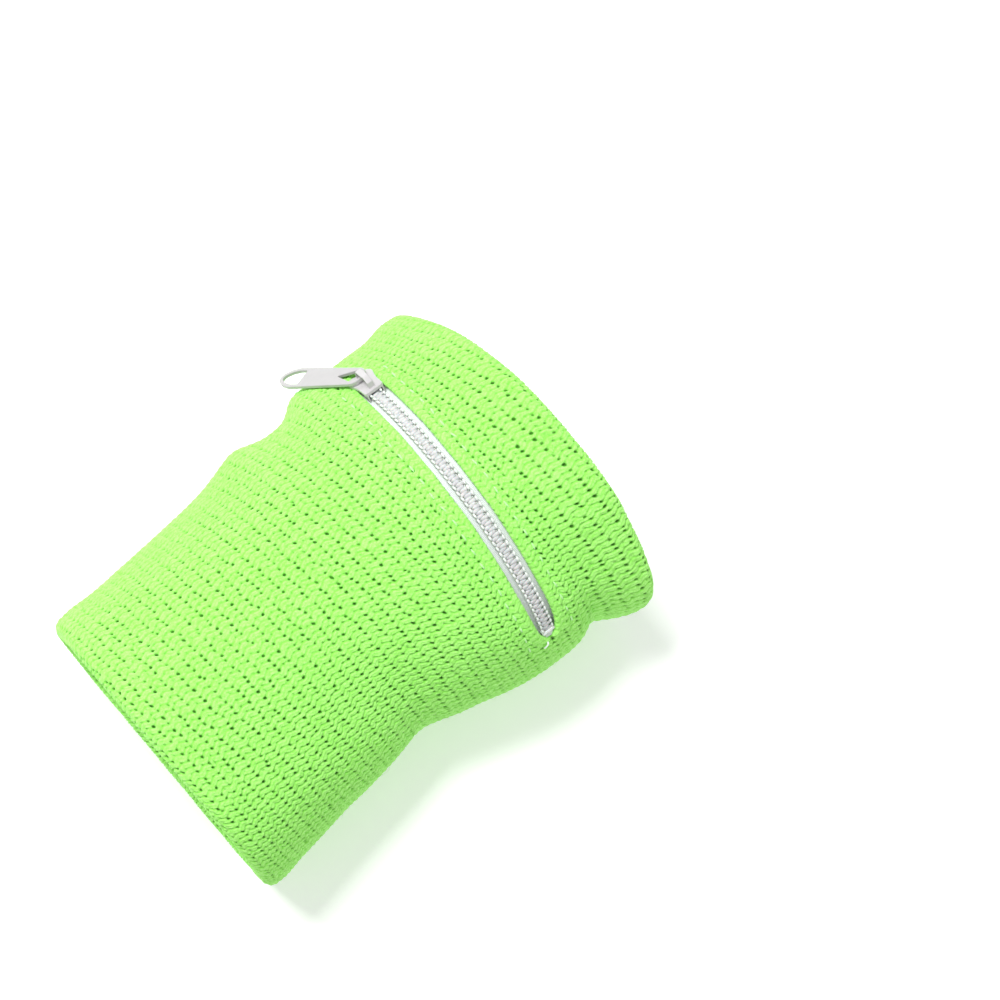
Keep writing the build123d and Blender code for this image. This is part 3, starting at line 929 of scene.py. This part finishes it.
def lacquer_material(name, colour, worn, roughness):
    """Lacquer over a zinc casting: faint orange peel and a little wear in scattered spots."""
    s = Shader(name, Roughness=roughness, Coat_Weight=0.35, Coat_Roughness=0.12, Specular_IOR_Level=0.55)
    place = s.place()
    peel, cloud = s.noise(2.6, 2.0, 0.5, place), s.noise(0.35, 3.0, 0.6, place)
    rub = s.ramp(s.noise(4.5, 4.0, 0.65, place), 0.66, 0.80, 0.0, 0.5)
    shade = tuple(0.93 * v for v in colour)
    tint = s.blend(s.ramp(cloud, 0.3, 0.7), shade, colour)
    s.set("Base Color", s.blend(rub, tint, worn))
    s.set("Roughness", s.ramp(cloud, 0.3, 0.7, roughness - 0.05, roughness + 0.07))
    s.bump(peel, 0.02, 0.5)
    return s.material


# ---- the whole -----------------------------------------------------------------------------------
def make_wristband():
    """Every piece of the band, with its material."""
    # knit colours: painted highlight on the crests, painted shade and random mottle in the darker green,
    # painted shade in the holes in the darkest
    knit_outer = knit_material("knit", body=(0.43, 0.96, 0.21), highlight_and_tone=(0.52, 1.00, 0.30),
                               hole_shade=(0.045, 0.20, 0.008), shade=(0.25, 0.75, 0.085))
    knit_inner = knit_material("lining_knit", body=(0.34, 0.92, 0.13), highlight_and_tone=(0.50, 0.98, 0.26),
                               hole_shade=(0.06, 0.25, 0.02), shade=(0.18, 0.62, 0.06))
    green_thread = thread_material("seam_thread", (0.42, 0.98, 0.17), (0.16, 0.55, 0.05))
    white_thread = thread_material("sewing_thread", (0.90, 0.93, 0.90), (0.55, 0.60, 0.56))
    pale_thread = thread_material("pale_green_thread", (0.60, 0.93, 0.46), (0.36, 0.76, 0.24))
    nylon = nylon_material("coil_nylon", (0.48, 0.49, 0.49), (0.60, 0.61, 0.60))
    white_nylon = nylon_material("white_nylon", (0.80, 0.84, 0.82), (0.92, 0.95, 0.93))
    tape = tape_material()
    lacquer = lacquer_material("white_lacquer", (0.50, 0.485, 0.49), (0.42, 0.40, 0.395), 0.34)
    satin = lacquer_material("light_grey_satin", (0.41, 0.40, 0.402), (0.36, 0.345, 0.34), 0.40)

    make_outer_sleeve(knit_outer)
    make_lining(knit_inner)
    for side, where in side_names.items():
        claim(make_end_seam(side, green_thread), f"{where}_end_seam")
        claim(make_tape(side, tape), f"tape_{where}_side")
        claim(make_coil(side, nylon), f"coil_{where}_side")
        claim(make_filler_cord(side, white_thread), f"filler_cord_{where}_side")
        claim(make_coil_stitches(side, white_thread), f"coil_stitch_{where}_side")
        claim(make_zip_seam(side, pale_thread), f"zip_seam_{where}_side")
        softened(f"top_stop_{where}_side", f"top_stop_clip_{where}_side", "sleeve", lacquer, 0.06, 4)
    softened("bottom_stop", "bottom_stop_clip", "sleeve", white_nylon, 0.06, 6)
    closed_end = make_bartack("bartack_closed_end", (-55.8, -54.0), 0.90, white_thread)
    claim(closed_end, "closed_end_bartack")
    slider_end = make_bartack("bartack_slider_end", (56.0, 57.0), 0.8, white_thread)
    claim(slider_end, "slider_end_bartack")
    make_thread_tail(white_thread)
    make_fibres(green_thread)
    softened("slider_body", "slider_casting", "slider", lacquer, 0.065, 7)
    softened("pull_tab", "pull_tab_pressing", "pull", satin, 0.065, 7)


def claim(piece, node):
    """Hides the CAD node whose place the piece takes."""
    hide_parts(node)


def make_floor():
    """Pale, matt floor under the band."""
    bpy.ops.mesh.primitive_plane_add(size=6.0)
    floor = bpy.context.object
    floor.name = "floor"
    s = Shader("pale_floor", Roughness=0.9, Specular_IOR_Level=0.1)
    s.surface.inputs["Base Color"].default_value = (0.96, 0.96, 0.96, 1.0)
    s.surface.inputs["Emission Color"].default_value = (1.0, 1.0, 1.0, 1.0)
    s.surface.inputs["Emission Strength"].default_value = 0.18
    floor.data.materials.append(s.material)


def add_light(name, place, size, energy):
    """White square light that faces the band."""
    data = bpy.data.lights.new(name, "AREA")
    data.size, data.energy = size, energy
    light = bpy.data.objects.new(name, data)
    bpy.context.scene.collection.objects.link(light)
    light.location = place
    light.rotation_euler = (Vector((0.0, 0.0, 0.03)) - light.location).to_track_quat("-Z", "Y").to_euler()


def add_studio():
    """Soft daylight from the slider's side and above, bright pale surroundings."""
    world = bpy.data.worlds.new("studio")
    bpy.context.scene.world = world
    world.use_nodes = True
    world.node_tree.nodes["Background"].inputs["Color"].default_value = (1.0, 1.0, 1.0, 1.0)
    world.node_tree.nodes["Background"].inputs["Strength"].default_value = 0.55
    add_light("key", (-0.06, 0.42, 0.70), 0.26, 6.7)
    add_light("fill", (0.25, -0.45, 0.55), 0.50, 0.9)
    scene = bpy.context.scene
    scene.view_settings.view_transform = "Standard"
    scene.view_settings.look = "None"


def add_camera():
    """Looks down on the zip from above the forearm end."""
    place, target, up = (Vector(v) for v in (camera_place, camera_target, camera_up))
    back = (place - target).normalized()
    right = up.cross(back).normalized()
    data = bpy.data.cameras.new("camera")
    data.lens, data.sensor_width = camera_lens, 36.0
    data.clip_start, data.clip_end = 0.01, 20.0
    camera = bpy.data.objects.new("camera", data)
    turn = Matrix((right, back.cross(right), back)).transposed().to_4x4()
    camera.matrix_world = Matrix.Translation(place * MM) @ turn
    bpy.context.scene.collection.objects.link(camera)
    bpy.context.scene.camera = camera


make_wristband()
make_floor()
add_studio()
add_camera()
